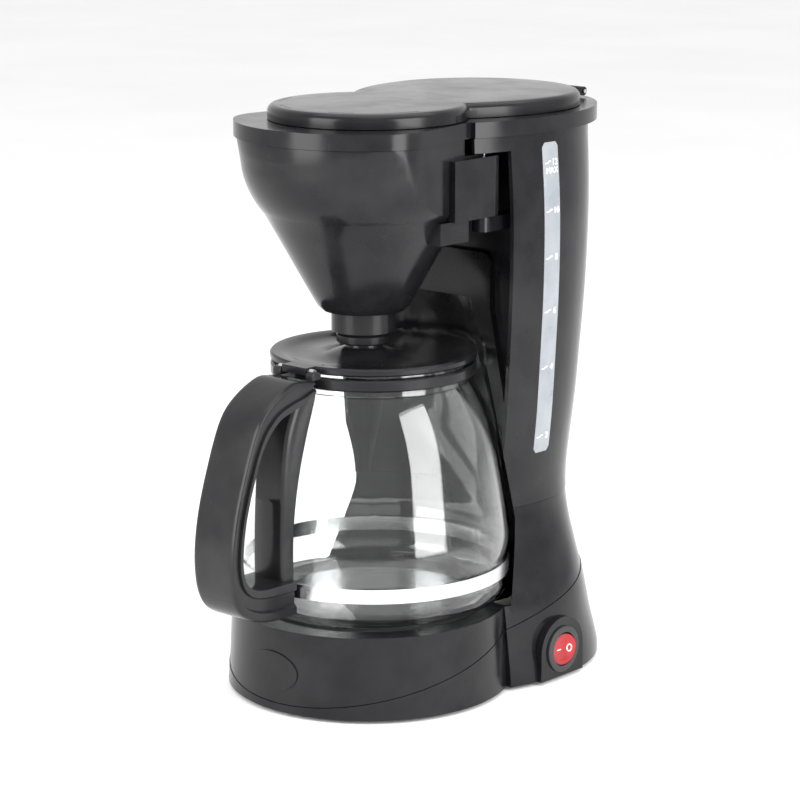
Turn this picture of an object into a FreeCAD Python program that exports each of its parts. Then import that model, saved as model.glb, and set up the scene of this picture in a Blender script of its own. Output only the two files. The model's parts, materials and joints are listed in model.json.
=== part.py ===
"""Drip coffee maker with a glass pot, a swing-out filter funnel and a tall rear water tank.

Frame: +Z up, the pot's handle points to -Y, the power switch is on the +X side. The origin lies on
the floor under the middle of the whole object. Most pieces are drawn about the front axis, which is
the upright axis of the round front of the base, and are then moved along Y.
"""
import FreeCAD, Part
import functools
import math
import os
import Sketcher

V = FreeCAD.Vector
doc = FreeCAD.newDocument("coffee_maker")

# ---------------------------------------------------------------- driving sizes, millimetres
SIZES = {
    "housing": [
        ("handle_reach", 122.5), ("rear_reach", 164.5), ("wall", 2.6), ("foot_rise", 2.0),
        ("floor_thick", 2.4), ("skin_step", 0.4),
        ("drum_foot_radius", 80.0), ("drum_top_radius", 78.0), ("deck_rise", 48.0),
        ("deck_thick", 2.4), ("lobe_front", 36.0), ("widest_back", 77.0), ("front_span", 100.0),
        ("foot_half", 82.0), ("foot_rear", 159.0), ("hip_half", 76.0), ("hip_rear", 146.0),
        ("waist_rise", 100.0), ("waist_half", 62.5), ("waist_rear", 139.0),
        ("chest_rise", 150.0), ("chest_half", 65.6), ("chest_rear", 144.5),
        ("shoulder_rise", 212.0), ("shoulder_half", 69.3), ("shoulder_rear", 151.0),
        ("crown_rise", 262.0), ("crown_half", 70.0), ("crown_rear", 154.5),
        ("tank_top", 311.0), ("top_half", 67.2), ("top_rear", 156.0),
        ("seam_front_rise", 6.0), ("seam_slope", 0.25), ("seam_gap", 0.3),
    ],
    "front of the tank": [
        ("cheek_front", 45.0), ("strip_front", 23.0), ("strip_under", 303.0),
        ("panel_front", 64.0), ("panel_thick", 2.5), ("tower_front", 60.0),
        ("tower_half", 37.0), ("tower_top", 241.5), ("tower_flare_rise", 210.0),
        ("niche_radius", 79.5), ("niche_bulge_rise", 94.0), ("niche_mid_rise", 141.0),
        ("niche_mid_radius", 71.5), ("niche_top", 215.0), ("niche_top_radius", 60.5),
        ("tank_floor_rise", 101.5), ("tank_floor_thick", 2.5), ("outlet_bore", 4.5),
    ],
    "rim and lid": [
        ("rim_under", 311.4), ("rim_top", 320.0), ("rim_plate", 2.6), ("rim_radius", 73.4),
        ("rim_corner_radius", 30.0), ("rim_waist_half", 55.0), ("rim_waist_back", 22.0),
        ("rim_half", 69.5), ("rim_rear", 164.5),
        ("lid_radius", 55.0), ("lid_half", 60.0), ("lid_widest_back", 88.0), ("lid_rear", 149.5),
        ("lid_front_span", 80.0), ("lid_gap", 0.4), ("lid_side", 4.0), ("lid_crown", 3.8),
        ("lid_bevel", 4.0), ("lid_skin", 2.2), ("opening_inset", 7.0),
        ("hinge_back", 153.5), ("hinge_rise", 323.4), ("knuckle_radius", 2.6),
        ("hinge_rod_radius", 1.2), ("running_gap", 0.07), ("knuckle_out", 28.0),
        ("knuckle_long", 8.0), ("ear_long", 6.0),
    ],
    "filter funnel": [
        ("drip_back", -4.0), ("funnel_radius", 69.0), ("funnel_top", 311.0),
        ("funnel_shoulder_rise", 297.0), ("funnel_shoulder_radius", 66.8),
        ("funnel_root_rise", 218.0), ("funnel_root_radius", 26.0), ("funnel_wall", 2.2),
        ("funnel_inset", 1.6), ("funnel_rear", 58.0), ("neck_radius", 18.0), ("neck_top", 213.0),
        ("neck_under", 203.2), ("neck_bore", 13.5), ("drip_bore", 4.2), ("neck_floor", 2.4),
        ("pin_out", 51.5), ("pin_back", 35.5), ("pin_radius", 2.0), ("barrel_radius", 9.0),
        ("block_half_out", 60.3), ("block_under", 268.0), ("block_top", 301.0),
        ("block_front", 3.0), ("scallop_radius", 17.6), ("step_under", 256.0),
        ("step_front", -5.0), ("step_back", 18.0), ("step_out", 57.0), ("arm_thick", 8.0),
        ("insert_gap", 0.5), ("insert_wall", 1.4), ("insert_drop", 3.0),
    ],
    "drip stop": [
        ("stem_radius", 2.6), ("stem_lap", 1.2), ("plug_radius", 8.5), ("plug_thick", 3.0),
        ("seal_radius", 6.6), ("seal_cord", 1.0), ("valve_travel", 3.0),
        ("spring_radius", 5.2), ("spring_wire", 0.6), ("spring_long", 9.0), ("spring_turns", 5.0),
        ("cap_radius", 11.0), ("cap_thick", 1.8),
    ],
    "pot": [
        ("pot_back", 4.0), ("pot_floor", 49.7), ("pot_floor_radius", 64.0),
        ("pot_belly_radius", 76.8), ("pot_belly_rise", 84.0), ("pot_shoulder_rise", 134.0),
        ("pot_shoulder_radius", 70.2), ("pot_neck_rise", 175.0), ("pot_neck_radius", 54.0),
        ("pot_lip_rise", 186.5), ("pot_lip_radius", 53.0), ("lip_step", 0.15), ("glass_wall", 2.2),
        ("spout_reach", 6.0), ("spout_spread", 0.3),
        ("band_under", 66.0), ("band_top", 74.0), ("band_thick", 0.8), ("band_gap", 0.1),
        ("collar_under", 178.5), ("collar_top", 185.2), ("collar_radius", 57.4),
        ("pot_lid_radius", 57.6), ("pot_lid_under", 187.0), ("pot_lid_side", 4.2),
        ("cone_root_radius", 45.0), ("cone_foot_radius", 23.0), ("cone_top_radius", 10.5),
        ("cone_top", 195.0),
        ("button_radius", 15.2), ("button_top", 202.2), ("button_bore", 5.5),
        ("button_stem_radius", 10.0),
    ],
    "pot handle": [
        ("grip_half", 15.0), ("strap_half", 11.5), ("grip_thick", 8.0), ("strap_thick", 9.0),
        ("screw_radius", 2.0), ("screw_head_radius", 3.8), ("screw_head_thick", 2.4),
        ("handle_screw_in", 34.0), ("tab_half", 9.0), ("lid_rod_radius", 1.55),
    ],
    "hot plate and works": [
        ("plate_radius", 62.0), ("plate_top", 49.3), ("plate_thick", 1.6), ("plate_lip", 3.0),
        ("seal_width", 3.2), ("heater_arc_radius", 42.0), ("heater_tube_radius", 4.5),
        ("heater_drop", 0.2), ("water_tube_radius", 5.5), ("hose_bore", 3.4),
        ("hose_radius", 5.0), ("riser_out", 50.0), ("riser_back", 80.0), ("riser_radius", 2.6),
        ("hot_hose_radius", 4.0), ("socket_deep", 6.0), ("outlet_out", 46.0), ("outlet_back", 84.0),
        ("spray_radius", 24.0), ("thermostat_radius", 8.0), ("thermostat_thick", 6.0),
    ],
    "switch and small parts": [
        ("pad_out", 82.6), ("switch_back", 72.0), ("switch_rise", 18.0), ("pad_half", 18.6),
        ("bezel_radius", 13.4), ("bezel_proud", 1.4), ("bezel_bore", 9.8), ("rocker_radius", 9.0),
        ("rocker_tilt", 8.0), ("rocker_throw", 16.0), ("switch_depth", 16.0),
        ("window_half", 6.5), ("window_back", 74.0), ("window_under", 130.0),
        ("window_top", 305.0), ("window_gap", 0.1), ("window_proud", 0.3),
        ("badge_half_wide", 17.5), ("badge_half_high", 11.0), ("badge_rise", 24.0),
        ("badge_thick", 0.7), ("foot_radius", 8.0), ("foot_thick", 2.6),
        ("gland_radius", 6.5), ("gland_bore", 3.2), ("gland_rise", 22.0),
        ("screw_shank", 1.6), ("screw_head", 3.0), ("screw_head_high", 2.0), ("screw_top", 24.0),
    ],
}

sheet = doc.addObject("Spreadsheet::Sheet", "Sheet")
row = 1
for group, cells in SIZES.items():
    sheet.set("A%d" % row, group)
    row += 1
    for alias, value in cells:
        sheet.set("A%d" % row, alias)
        sheet.set("B%d" % row, str(value))
        sheet.setAlias("B%d" % row, alias)
        row += 1
doc.recompute()


def size(expression):
    """The value of a cell, or of arithmetic on cells such as "wall * 2"."""
    return float(sheet.evalExpression(expression))


FRONT_AXIS = "(Sheet.handle_reach - Sheet.rear_reach) / 2"
DRIP_AXIS = FRONT_AXIS + " + Sheet.drip_back"
POT_AXIS = FRONT_AXIS + " + Sheet.pot_back"
front_axis_y = size("(handle_reach - rear_reach) / 2")
parts = []


# ---------------------------------------------------------------- feature helpers
def body(label, along_y=FRONT_AXIS):
    """An empty body whose own Z axis stands on the named upright axis."""
    item = doc.addObject("PartDesign::Body", label)
    item.Label = label
    item.setExpression("Placement.Base.y", along_y)
    parts.append(item)
    return item


def piece(label, shape):
    """A sub-part whose shape, drawn about the front axis, comes from Part's own functions."""
    item = doc.addObject("Part::Feature", label)
    item.Label = label
    item.Shape = shape.removeSplitter()
    item.Placement = FreeCAD.Placement(V(0, front_axis_y, 0), FreeCAD.Rotation())
    parts.append(item)
    return item


def sketch(item, name, role, away=None):
    """A sketch on one of the body's own origin planes, moved off it by an expression."""
    plane = [f for f in item.Origin.OriginFeatures if f.Role == role][0]
    drawing = item.newObject("Sketcher::SketchObject", name)
    drawing.AttachmentSupport = (plane, "")
    drawing.MapMode = "FlatFace"
    if away:
        drawing.setExpression("AttachmentOffset.Base.z", away)
    return drawing


def pin_point(drawing, geo, pos, point, name):
    """Ties one point of a sketch to two expressions."""
    for axis, expression in zip("XY", point):
        value = float(drawing.evalExpression(expression))
        index = drawing.addConstraint(Sketcher.Constraint("Distance" + axis, geo, pos, value))
        drawing.renameConstraint(index, name + axis.lower())
        drawing.setExpression("Constraints.%s" % (name + axis.lower()), expression)


def outline(drawing, points):
    """A closed outline through points given as expressions.

    A point with a third entry is not a corner: the edge between its neighbours bows through it.
    """
    corners = [i for i, point in enumerate(points) if len(point) == 2]
    where = {i: V(*[float(drawing.evalExpression(e)) for e in point[:2]], 0)
             for i, point in enumerate(points)}
    ends = []
    for i, after in zip(corners, corners[1:] + corners[:1]):
        bow = (i + 1) % len(points)
        if len(points[bow]) == 3:
            arc = Part.Arc(where[i], where[bow], where[after])
            geo = drawing.addGeometry(arc, False)
            forward = drawing.getPoint(geo, 1).distanceToPoint(where[i]) < 1e-6
            ends.append((geo, 1 if forward else 2, 2 if forward else 1))
            marker = drawing.addGeometry(Part.Point(where[bow]), True)
            pin_point(drawing, marker, 1, points[bow][:2], "bow%d" % i)
            drawing.addConstraint(Sketcher.Constraint("PointOnObject", marker, 1, geo))
        else:
            geo = drawing.addGeometry(Part.LineSegment(where[i], where[after]), False)
            ends.append((geo, 1, 2))
    for k, i in enumerate(corners):
        geo, first, last = ends[k]
        after_geo, after_first, _ = ends[(k + 1) % len(ends)]
        drawing.addConstraint(Sketcher.Constraint("Coincident", geo, last, after_geo, after_first))
        pin_point(drawing, geo, first, points[i], "p%d" % i)


def circle(drawing, radius, centre=("0", "0")):
    """A full circle with its radius and centre tied to expressions."""
    middle = V(*[float(drawing.evalExpression(e)) for e in centre], 0)
    value = float(drawing.evalExpression(radius))
    geo = drawing.addGeometry(Part.Circle(middle, V(0, 0, 1), value), False)
    index = drawing.addConstraint(Sketcher.Constraint("Radius", geo, value))
    drawing.renameConstraint(index, "r%d" % geo)
    drawing.setExpression("Constraints.r%d" % geo, radius)
    pin_point(drawing, geo, 3, centre, "c%d" % geo)
    return geo


def turned(item, points, name="Turn"):
    """A solid of revolution about the body's own Z axis, from a half section (radius, height)."""
    drawing = sketch(item, name + "Section", "XZ_Plane")
    outline(drawing, points)
    feature = item.newObject("PartDesign::Revolution", name)
    feature.Profile = drawing
    feature.ReferenceAxis = (drawing, ["V_Axis"])
    feature.Angle = 360
    doc.recompute()
    return feature


def padded(item, drawing, length, name="Pad", both_ways=False, reverse=False):
    """A pad of a sketch, its length tied to an expression."""
    feature = item.newObject("PartDesign::Pad", name)
    feature.Profile = drawing
    feature.setExpression("Length", length)
    feature.Midplane = both_ways
    feature.Reversed = reverse
    doc.recompute()
    return feature


def pocket(item, drawing, length, name, both_ways=False, reverse=False):
    """A pocket, checked to have taken material away."""
    before = item.Shape.Volume
    feature = item.newObject("PartDesign::Pocket", name)
    feature.Profile = drawing
    feature.setExpression("Length", length)
    feature.Midplane = both_ways
    feature.Reversed = reverse
    doc.recompute()
    if item.Shape.Volume >= before:
        raise RuntimeError("%s cuts nothing from %s" % (name, item.Label))
    return feature


# ---------------------------------------------------------------- shape helpers
def cylinder(radius, low, high, out=0.0, back=0.0):
    return Part.makeCylinder(radius, high - low, V(out, back, low))


def block(x0, x1, y0, y1, z0, z1):
    return Part.makeBox(x1 - x0, y1 - y0, z1 - z0, V(x0, y0, z0))


def spun(points, back=0.0):
    """A solid turned about an upright axis from (radius, height) points; three in a list bow."""
    edges = []
    here = points[0]
    for step in points[1:] + [points[0]]:
        start = V(here[0], 0, here[1])
        if isinstance(step, list):
            middle, end = step
            edges.append(Part.Arc(start, V(middle[0], 0, middle[1]), V(end[0], 0, end[1])).toShape())
            here = end
        else:
            edges.append(Part.LineSegment(start, V(step[0], 0, step[1])).toShape())
            here = step
    face = Part.Face(Part.Wire(edges))
    solid = face.revolve(V(0, 0, 0), V(0, 0, 1), 360)
    solid.translate(V(0, back, 0))
    return solid


def plan_prism(wire, low, high):
    face = Part.Face(wire)
    face.translate(V(0, 0, low))
    return face.extrude(V(0, 0, high - low))


def lobe_wire(rise, half, rear, front, widest, span):
    """Plan of the rear housing: flat front, sides that widen slowly, an elliptical rear."""
    right = []
    steps_front = 3
    for i in range(steps_front):
        y = front + (widest - front) * i / steps_front
        right.append((half * math.sqrt(1 - ((widest - y) / span) ** 2), y))
    for i in range(6):
        turn = math.radians(15 * i)
        right.append((half * math.cos(turn), widest + (rear - widest) * math.sin(turn)))
    left = [(-x, y) for x, y in reversed(right)]
    points = [V(x, y, rise) for x, y in right + [(0, rear)] + left]
    curve = Part.BSplineCurve()
    curve.interpolate(points)
    return Part.Wire([curve.toShape(), Part.LineSegment(points[-1], points[0]).toShape()])


LEVELS = [("foot_rise", "foot_half", "foot_rear"), ("deck_rise", "hip_half", "hip_rear"),
          ("waist_rise", "waist_half", "waist_rear"), ("chest_rise", "chest_half", "chest_rear"),
          ("shoulder_rise", "shoulder_half", "shoulder_rear"),
          ("crown_rise", "crown_half", "crown_rear"), ("tank_top", "top_half", "top_rear")]


def eased(rises, values, index, part):
    """A smooth curve through the values, read a part of the way from one level to the next."""
    def slope(i):
        low, high = max(i - 1, 0), min(i + 1, len(rises) - 1)
        return (values[high] - values[low]) / (rises[high] - rises[low])

    span = rises[index + 1] - rises[index]
    start, end = values[index], values[index + 1]
    rise_in, rise_out = slope(index) * span, slope(index + 1) * span
    cubic = 2 * start + rise_in - 2 * end + rise_out
    square = -3 * start + 3 * end - 2 * rise_in - rise_out
    return ((cubic * part + square) * part + rise_in) * part + start


def lobe_levels():
    """Height, half width and rear of each section, about 25 mm apart, through the named levels."""
    rises, halves, rears = ([size(level[i]) for level in LEVELS] for i in range(3))
    levels = []
    for i in range(len(rises) - 1):
        span = rises[i + 1] - rises[i]
        steps = max(1, round(span / 25))
        for k in range(steps):
            part = k / steps
            levels.append((rises[i] + span * part, eased(rises, halves, i, part),
                           eased(rises, rears, i, part)))
    return levels + [(rises[-1], halves[-1], rears[-1])]


@functools.lru_cache(maxsize=None)
def lobe(inset, front):
    """The whole rear housing from the floor to the tank's top, set in by a wall."""
    wires = [lobe_wire(rise, half - inset, rear - inset, front, size("widest_back"), size("front_span"))
             for rise, half, rear in lobe_levels()]
    return Part.makeLoft(wires, True, False)


def niche(extra=0.0):
    """The bell-shaped hollow that the pot stands in, coaxial with the pot."""
    return spun([(0, size("deck_rise")), (size("niche_radius") + extra, size("deck_rise")),
                 (size("niche_radius") + extra, size("niche_bulge_rise")),
                 [(size("niche_mid_radius") + extra, size("niche_mid_rise")),
                  (size("niche_top_radius") + extra, size("niche_top") + extra)],
                 (0, size("niche_top") + extra)], size("pot_back"))


def below_seam(lift=0.0):
    """Everything under the slanted seam between the bottom shell and the base."""
    front, rear = -200.0, 300.0
    rise = size("seam_front_rise") + lift
    start = -size("drum_foot_radius")
    ends = [rise + size("seam_slope") * (y - start) for y in (front, rear)]
    corners = [V(0, front, -50), V(0, rear, -50), V(0, rear, ends[1]), V(0, front, ends[0])]
    face = Part.Face(Part.makePolygon(corners + corners[:1]))
    return face.extrude(V(400, 0, 0)).translated(V(-200, 0, 0))


def drum(inset, low, high):
    """The round front of the base, very slightly conical."""
    rise = size("deck_rise") - size("foot_rise")
    taper = (size("drum_foot_radius") - size("drum_top_radius")) / rise
    radii = [size("drum_foot_radius") - taper * (z - size("foot_rise")) - inset for z in (low, high)]
    return Part.makeCone(radii[0], radii[1], high - low, V(0, 0, low))


def front_lobe_wire(inset):
    """Plan of the round front of the rim: a wide arc, tighter corners and nearly straight sides."""
    radius = size("rim_radius") - inset
    corner = size("rim_corner_radius") - inset
    waist = V(size("rim_waist_half") - inset, size("rim_waist_back"), 0)
    turn = math.radians(48)
    lean = math.radians(8)
    normal = V(math.sin(turn), -math.cos(turn), 0)
    start = normal * radius
    centre = normal * (radius - corner)
    half = (turn - math.pi / 2 + lean) / 2
    middle = centre + V(math.cos(half), math.sin(half), 0) * corner
    end = centre + V(math.cos(lean), math.sin(lean), 0) * corner

    def mirror(point):
        return V(-point.x, point.y, 0)

    edges = [Part.Arc(mirror(start), V(0, -radius, 0), start), Part.Arc(start, middle, end),
             Part.LineSegment(end, waist), Part.LineSegment(waist, mirror(waist)),
             Part.LineSegment(mirror(waist), mirror(end)),
             Part.Arc(mirror(end), mirror(middle), mirror(start))]
    return Part.Wire([edge.toShape() for edge in edges])


# ---------------------------------------------------------------- housing
wall = size("wall")
deck = size("deck_rise")
waist = size("waist_rise")
step = size("skin_step")
floor_top = size("foot_rise + floor_thick")
niche_space = niche()
niche_skin = niche(wall)


def base_outer(inset):
    """Drum and lower lobe in one, up to the waist seam."""
    lower = lobe(inset, size("strip_front"))
    lower = lower.common(block(-120, 120, size("lobe_front") + inset, 200, 0, waist))
    return drum(inset, size("foot_rise"), deck).fuse(lower)


def base_hollow(inset):
    """The space inside the base: under the deck it is all one room."""
    room = lobe(inset, size("strip_front"))
    under = room.common(block(-120, 120, 0, 200, floor_top, deck - size("deck_thick")))
    front = drum(inset, floor_top, deck - size("deck_thick"))
    over = room.common(block(-120, 120, size("lobe_front") + inset, 200, floor_top, waist + 5))
    return front.fuse(under.common(front.fuse(over))).fuse(over.cut(niche_skin))


def tongue(low, high):
    """A prism along X of the round-topped pad that carries the switch."""
    half, back, rise = size("pad_half"), size("switch_back"), size("switch_rise")
    round_top = Part.makeCylinder(half, high - low, V(low, back, rise), V(1, 0, 0))
    round_top = round_top.common(block(low, high, 0, 200, size("foot_rise"), 200))
    return round_top.fuse(block(low, high, back - half, back + half, size("foot_rise"), rise))


def bottom_shell():
    face = size("pad_out")
    shell = base_outer(0).fuse(tongue(60, face)).cut(tongue(face, face + 20)).common(below_seam())
    shell = shell.cut(base_hollow(wall).cut(block(face - wall, face + 20, 0, 150, 0, 60)))
    bore = Part.makeCylinder(size("bezel_bore") + 0.8, 40, V(50, size("switch_back"),
                             size("switch_rise")), V(1, 0, 0))
    gland = Part.makeCylinder(size("gland_radius"), 40,
                              V(0, size("foot_rear") - 25, size("gland_rise")), V(0, 1, 0))
    shell = shell.cut(bore).cut(gland)
    for x, y in screw_places():
        shell = shell.fuse(cylinder(size("screw_head") + 1.6, floor_top - 0.2, floor_top + 5, x, y))
        shell = shell.cut(cylinder(size("screw_shank"), 0, 40, x, y))
        shell = shell.cut(cylinder(size("screw_head"), 0, floor_top + 2.0, x, y))
    for x, y in foot_places():
        shell = shell.cut(cylinder(size("foot_radius"), 0, size("foot_rise") + 0.8, x, y))
    return piece("bottom_shell", shell)


def screw_places():
    reach = (size("drum_foot_radius - wall") - 10) * math.sqrt(0.5)
    spread = size("hip_half - wall") - 16
    back = size("hip_rear") - 42
    return [(-reach, -reach), (reach, -reach), (-spread, back), (spread, back)]


def foot_places():
    reach = size("drum_foot_radius") - 26
    spread = size("foot_half") - 26
    return [(-reach * 0.72, -reach * 0.72), (reach * 0.72, -reach * 0.72),
            (-spread, size("foot_rear") - 46), (spread, size("foot_rear") - 46)]


def base_shell():
    shell = base_outer(step).cut(below_seam(size("seam_gap"))).cut(niche_space)
    shell = shell.cut(base_hollow(wall + step))
    shell = shell.cut(cylinder(size("plate_radius - plate_lip"), deck - 6, deck + 1))
    shell = shell.cut(cylinder(size("plate_radius + seal_width"), deck - 1.2, deck + 1))
    skin = base_outer(step + 0.5).cut(niche_skin)
    for x, y in screw_places():
        seam = size("seam_front_rise") + size("seam_slope") * (y + size("drum_foot_radius"))
        low, high = floor_top + 5.1, max(deck - size("deck_thick") / 2, seam + 16)
        post = cylinder(size("screw_shank") + 2.4, low, high, x, y)
        web = block(min(x, math.copysign(120, x)), max(x, math.copysign(120, x)), y - 1.2, y + 1.2,
                    seam + 3, high).common(skin)
        post = post.fuse(web) if y > 0 else post
        shell = shell.fuse(post.cut(cylinder(size("screw_shank"), 0, size("screw_top"), x, y)))
    return piece("base_shell", shell)


def base_screws():
    """The screws that hold the bottom shell, driven up from below into the base's posts."""
    screws = []
    for x, y in screw_places():
        head_low = floor_top + 2.0 - size("screw_head_high")
        head = cylinder(size("screw_head"), head_low, floor_top + 2.0, x, y)
        slot = block(x - 2.2, x + 2.2, y - 0.4, y + 0.4, head_low - 1, head_low + 0.8)
        slot = slot.fuse(block(x - 0.4, x + 0.4, y - 2.2, y + 2.2, head_low - 1, head_low + 0.8))
        shank = cylinder(size("screw_shank"), floor_top + 1.9, size("screw_top"), x, y)
        screws.append(head.fuse(shank).cut(slot))
    return piece("base_screws", Part.makeCompound(screws))


def window_outline(grow, out, depth):
    """The rounded slot of the water window, as a solid running along X."""
    half, back = size("window_half") + grow, size("window_back")
    low, high = size("window_under") + half - grow, size("window_top") - half + grow
    ends = [Part.makeCylinder(half, depth, V(out, back, z), V(1, 0, 0)) for z in (low, high)]
    return ends[0].fuse(ends[1]).fuse(block(out, out + depth, back - half, back + half, low, high))


tank_outer = lobe(0, size("strip_front"))
tank_inner = lobe(wall, size("strip_front") - 10)


def tank_shell():
    low = waist + size("seam_gap")
    shell = tank_outer.cut(tank_inner).common(block(-120, 120, 0, 200, low, size("tank_top")))
    shell = shell.cut(block(-120, 120, 0, size("cheek_front"), 0, size("strip_under")))
    shell = shell.cut(niche_space)
    shell = shell.cut(window_outline(size("window_gap"), 50, 40))
    return piece("tank_shell", shell)


def water_window():
    gap = size("window_gap")
    skin = lobe(-size("window_proud"), size("strip_front")).cut(tank_inner)
    return piece("water_window", skin.common(window_outline(0, 50, 40)))


def front_panel():
    """The tank's front wall, bulging back round the pot's niche."""
    fit = 0.9
    front, thick = size("panel_front"), size("panel_thick")
    room = lobe(wall + fit, size("strip_front") - 10)
    low, high = waist + size("seam_gap") + 0.2, size("tank_top")
    plate = block(-120, 120, front, front + thick, low, high)
    bulge = niche_skin.common(block(-120, 120, front, 200, low, high))
    panel = room.common(plate.fuse(bulge)).cut(niche_space)
    return piece("tank_front_panel", panel)


def tower_cover():
    """The slightly raised tower that covers the riser, flaring downwards beside the pot."""
    low = waist + size("seam_gap") + 0.2
    half, top = size("tower_half"), size("tower_top")
    flare = size("tower_flare_rise")
    foot_half = size("waist_half - wall") - 4.0
    corner = 6.0
    right = [V(foot_half, 0, low), V(foot_half, 0, low + 14)]
    sweep = Part.Arc(right[1], V(half + (foot_half - half) * 0.42, 0, low + (flare - low) * 0.66),
                     V(half, 0, flare))

    def mirror(point):
        return V(-point.x, 0, point.z)

    shoulder = [V(half, 0, top - corner), V(half - corner * 0.29, 0, top - corner * 0.29),
                V(half - corner, 0, top)]
    left_sweep = Part.Arc(V(-half, 0, flare),
                          V(-half - (foot_half - half) * 0.42, 0, low + (flare - low) * 0.66),
                          mirror(right[1]))
    edges = [Part.LineSegment(mirror(right[0]), right[0]), Part.LineSegment(right[0], right[1]),
             sweep, Part.LineSegment(V(half, 0, flare), shoulder[0]), Part.Arc(*shoulder),
             Part.LineSegment(shoulder[2], mirror(shoulder[2])),
             Part.Arc(mirror(shoulder[2]), mirror(shoulder[1]), mirror(shoulder[0])),
             Part.LineSegment(mirror(shoulder[0]), V(-half, 0, flare)), left_sweep,
             Part.LineSegment(mirror(right[1]), mirror(right[0]))]
    face = Part.Face(Part.Wire([edge.toShape() for edge in edges]))
    front = size("tower_front")
    slab = face.extrude(V(0, size("panel_front") - front, 0)).translated(V(0, front, 0))
    return piece("tower_cover", slab.cut(niche_space))


def tank_floor():
    fit = 0.2
    low = size("tank_floor_rise")
    room = lobe(wall + fit, size("strip_front") - 10)
    plate = room.common(block(-120, 120, size("panel_front + panel_thick") + fit, 200, low,
                              low + size("tank_floor_thick"))).cut(niche(wall + fit))
    out, back = size("outlet_out"), size("outlet_back")
    plate = plate.fuse(cylinder(size("hose_bore"), low - 10, low + 0.5, out, back))
    plate = plate.cut(cylinder(size("hose_bore") - 1.2, low - 20, low + 20, out, back))
    plate = plate.cut(cylinder(size("riser_radius") + 0.1, low - 20, low + 20,
                               -size("riser_out"), size("riser_back")))
    return piece("tank_floor", plate)


def rim_solid(inset, low, high):
    """The rim's plan as a solid: front circle and rear lobe in one."""
    rear = lobe_wire(0, size("rim_half") - inset, size("rim_rear") - inset,
                     size("rim_waist_back") + inset * 0.4, size("widest_back"), size("front_span"))
    return plan_prism(front_lobe_wire(inset), low, high).fuse(plan_prism(rear, low, high))


def lid_solid(inset, low, high):
    """The lid's plan as a solid: a circle over the funnel and an oval over the tank."""
    circle_part = cylinder(size("lid_radius") - inset, low, high)
    oval = lobe_wire(0, size("lid_half") - inset, size("lid_rear") - inset, 20.0,
                     size("lid_widest_back"), size("lid_front_span"))
    return circle_part.fuse(plan_prism(oval, low, high))


def top_rim():
    low, high = size("rim_under"), size("rim_top")
    rim = rim_solid(0, low, high).cut(rim_solid(wall, low - 1, high - size("rim_plate")))
    rim = rim.cut(lid_solid(size("opening_inset"), low - 1, high + 1))
    back, rise = size("hinge_back"), size("hinge_rise")
    for side in (-1, 1):
        near = size("knuckle_out") - size("knuckle_long") - 0.4 - size("ear_long")
        x0, x1 = sorted((side * near, side * (near + size("ear_long"))))
        ear = block(x0, x1, back - size("knuckle_radius"), back + size("knuckle_radius"),
                    high - 0.5, rise + 1.0)
        ear = ear.fuse(Part.makeCylinder(size("knuckle_radius"), x1 - x0, V(x0, back, rise), V(1, 0, 0)))
        rim = rim.fuse(ear)
    rod = Part.makeCylinder(size("hinge_rod_radius"), 80, V(-40, back, rise), V(1, 0, 0))
    return piece("top_rim", rim.cut(rod))


def top_lid():
    low = size("rim_top") + size("lid_gap")
    side_top = low + size("lid_side")
    bevel, crown = size("lid_bevel"), size("lid_crown")
    radius, half, rear = size("lid_radius"), size("lid_half"), size("lid_rear")
    lid = lid_solid(0, low, side_top)
    front_cap = Part.makeCone(radius, radius - bevel, crown, V(0, 0, side_top))
    ovals = [lobe_wire(side_top + rise, half - inset, rear - inset, 20.0 + inset,
                       size("lid_widest_back"), size("lid_front_span"))
             for rise, inset in ((0, 0), (crown, bevel))]
    lid = lid.fuse(front_cap).fuse(Part.makeLoft(ovals, True, True))
    lid = lid.cut(lid_solid(size("lid_skin + lid_bevel"), low - 1, side_top + crown - size("lid_skin")))
    back, rise = size("hinge_back"), size("hinge_rise")
    for side in (-1, 1):
        x0, x1 = sorted((side * (size("knuckle_out") - size("knuckle_long")),
                         side * size("knuckle_out")))
        lid = lid.fuse(block(x0, x1, rear - 7, back, low + 1, rise + 1.4))
        lid = lid.fuse(Part.makeCylinder(size("knuckle_radius"), x1 - x0, V(x0, back, rise), V(1, 0, 0)))
    bore = size("hinge_rod_radius") + size("running_gap")
    return piece("top_lid", lid.cut(Part.makeCylinder(bore, 80, V(-40, back, rise), V(1, 0, 0))))


def lid_hinge_rod():
    item = body("lid_hinge_rod")
    drawing = sketch(item, "Section", "YZ_Plane")
    circle(drawing, "Sheet.hinge_rod_radius", ("Sheet.hinge_back", "Sheet.hinge_rise"))
    padded(item, drawing, "2 * Sheet.knuckle_out + 2", both_ways=True)


# ---------------------------------------------------------------- swing-out funnel
def funnel_profile(inset, top):
    """Half section of the cone, set in by a wall, as a solid that reaches down to the neck."""
    root, root_rise = size("funnel_root_radius") - inset, size("funnel_root_rise")
    shoulder_rise = size("funnel_shoulder_rise")
    shoulder = size("funnel_shoulder_radius") - inset
    bend = V(0.75, 0, 0.25)
    middle_rise = root_rise + (shoulder_rise - root_rise) * 0.86
    middle = root + (shoulder - root) * 0.93
    corner = 3 - inset
    return spun([(0, root_rise - corner), (root - corner, root_rise - corner), (root, root_rise),
                 (root + (middle - root) * bend.x, root_rise + (middle_rise - root_rise) * bend.x),
                 [(middle + 0.6, middle_rise + 0.6), (shoulder, shoulder_rise)],
                 (size("funnel_radius") - inset, top), (0, top)])


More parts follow.
